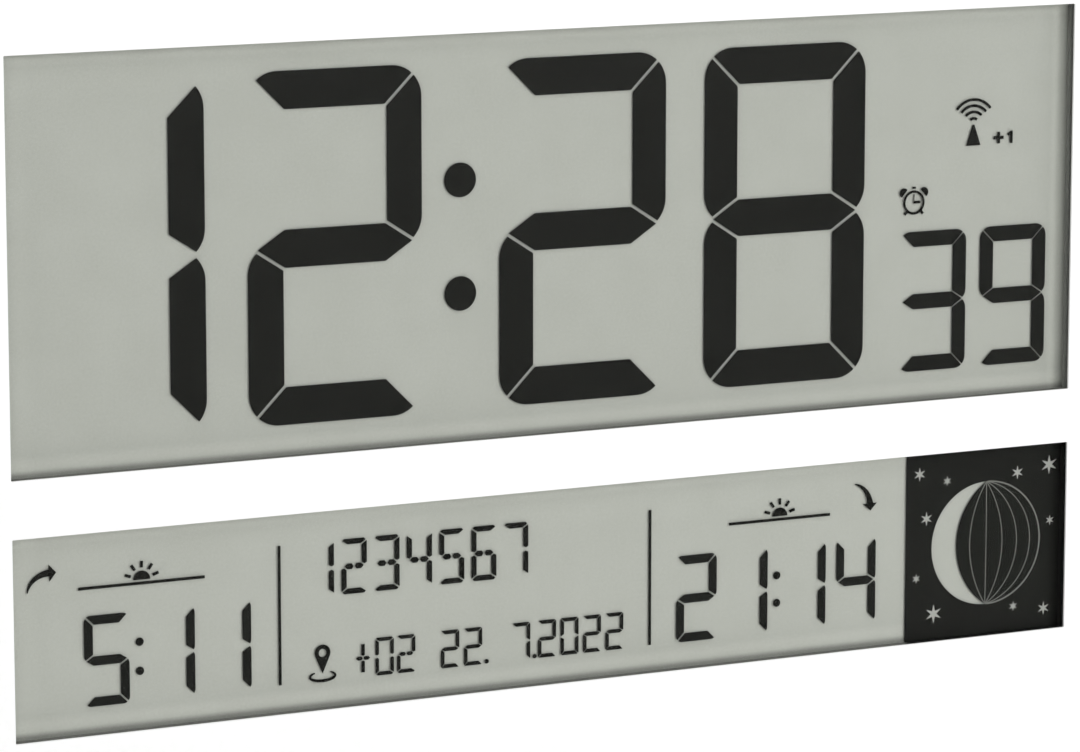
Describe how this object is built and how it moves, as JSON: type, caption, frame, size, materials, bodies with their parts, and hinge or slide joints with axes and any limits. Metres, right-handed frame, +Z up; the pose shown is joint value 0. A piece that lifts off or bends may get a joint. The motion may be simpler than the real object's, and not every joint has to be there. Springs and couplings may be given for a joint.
{
  "type": "digital wall clock",
  "caption": "Flat white wall clock with a large liquid-crystal time display over a calendar, sun-time and moon-phase display, keys, battery bay and fold-out stand behind.",
  "frame": {"origin": "centre of the flat back face that lies on the wall", "axes": "+X to the right as the face is read, +Y out of the back into the wall, +Z up"},
  "size_m": [0.36, 0.03, 0.24],
  "materials": {
    "white_plastic": "fine matt moulded white",
    "white_sheet": "smooth white sheet",
    "clear_lens": "clear flat plastic",
    "clear_glass": "clear flat glass",
    "dark_foam": "dull dark foam",
    "edge_seal": "cured edge seal",
    "reflector": "finely grained grey-green reflector",
    "segment_dark": "switched-on display segments",
    "strip_rubber": "layered elastomer",
    "inner_plastic": "plain moulded inner part",
    "screw_steel": "zinc-plated steel",
    "board_green": "solder-masked board",
    "chip_black": "black moulding",
    "can_metal": "plain metal can",
    "ferrite": "sintered dark grey",
    "copper_wire": "enamelled wire windings",
    "lead_red": "soft insulation",
    "lead_black": "soft insulation",
    "battery_jacket": "plain wrapped cell",
    "contact_nickel": "nickel-plated spring steel",
    "key_grey": "soft grey key plastic"
  },
  "bodies": {
    "case": {"front_frame": "white_plastic", "faceplate": "white_sheet", "time_lens": "clear_lens", "calendar_lens": "clear_lens", "time_gasket": "dark_foam", "calendar_gasket": "dark_foam", "time_glass": "clear_glass", "calendar_glass": "clear_glass", "time_seal": "edge_seal", "calendar_seal": "edge_seal", "time_reflector": "reflector", "calendar_reflector": "reflector", "time_digits": "segment_dark", "second_digits": "segment_dark", "sun_digits": "segment_dark", "date_digits": "segment_dark", "display_rules": "segment_dark", "moon_field": "segment_dark", "time_contact_strip": "strip_rubber", "calendar_contact_strip": "strip_rubber", "time_retainer": "inner_plastic", "calendar_retainer": "inner_plastic", "retainer_screws": "screw_steel", "main_board": "board_green", "board_screws": "screw_steel", "driver_chips": "chip_black", "quartz_crystal": "can_metal", "capacitors": "chip_black", "receiver_board": "board_green", "ferrite_rod": "ferrite", "antenna_coil": "copper_wire", "antenna_clips": "inner_plastic", "antenna_lead": "lead_black", "buzzer": "chip_black", "key_switches": "chip_black", "alarm_switch_body": "can_metal", "battery_cells": "battery_jacket", "battery_plus_contact": "contact_nickel", "battery_minus_contact": "contact_nickel", "battery_link": "contact_nickel", "battery_plus_lead": "lead_red", "battery_minus_lead": "lead_black", "rear_cover": "white_plastic", "case_screws": "screw_steel", "stand_pin": "screw_steel"},
    "door": {"battery_door": "white_plastic"},
    "stand": {"stand_leg": "white_plastic"},
    "mode_button": {"mode_key": "key_grey"},
    "set_button": {"set_key": "key_grey"},
    "up_button": {"up_key": "key_grey"},
    "down_button": {"down_key": "key_grey"},
    "alarm_button": {"alarm_key": "key_grey"},
    "wave_button": {"wave_key": "key_grey"},
    "alarm_slide": {"alarm_slider": "key_grey"}
  },
  "joints": [
    {"name": "door_hinge", "type": "hinge", "parent": "case", "child": "door", "pos_m": [0, -0.0013, 0.01275], "axis": [-1, 0, 0], "range_deg": [0, 70]},
    {"name": "stand_hinge", "type": "hinge", "parent": "case", "child": "stand", "pos_m": [0, -0.0026, -0.016], "axis": [1, 0, 0], "range_deg": [0, 45]},
    {"name": "mode_press", "type": "slide", "parent": "case", "child": "mode_button", "axis": [0, -1, 0], "range_m": [0, 0.0006], "stiffness_N_per_m": 800},
    {"name": "set_press", "type": "slide", "parent": "case", "child": "set_button", "axis": [0, -1, 0], "range_m": [0, 0.0006], "stiffness_N_per_m": 800},
    {"name": "up_press", "type": "slide", "parent": "case", "child": "up_button", "axis": [0, -1, 0], "range_m": [0, 0.0006], "stiffness_N_per_m": 800},
    {"name": "down_press", "type": "slide", "parent": "case", "child": "down_button", "axis": [0, -1, 0], "range_m": [0, 0.0006], "stiffness_N_per_m": 800},
    {"name": "alarm_press", "type": "slide", "parent": "case", "child": "alarm_button", "axis": [0, -1, 0], "range_m": [0, 0.0006], "stiffness_N_per_m": 800},
    {"name": "wave_press", "type": "slide", "parent": "case", "child": "wave_button", "axis": [0, -1, 0], "range_m": [0, 0.0006], "stiffness_N_per_m": 800},
    {"name": "alarm_switch", "type": "slide", "parent": "case", "child": "alarm_slide", "axis": [1, 0, 0], "range_m": [0, 0.004]}
  ]
}
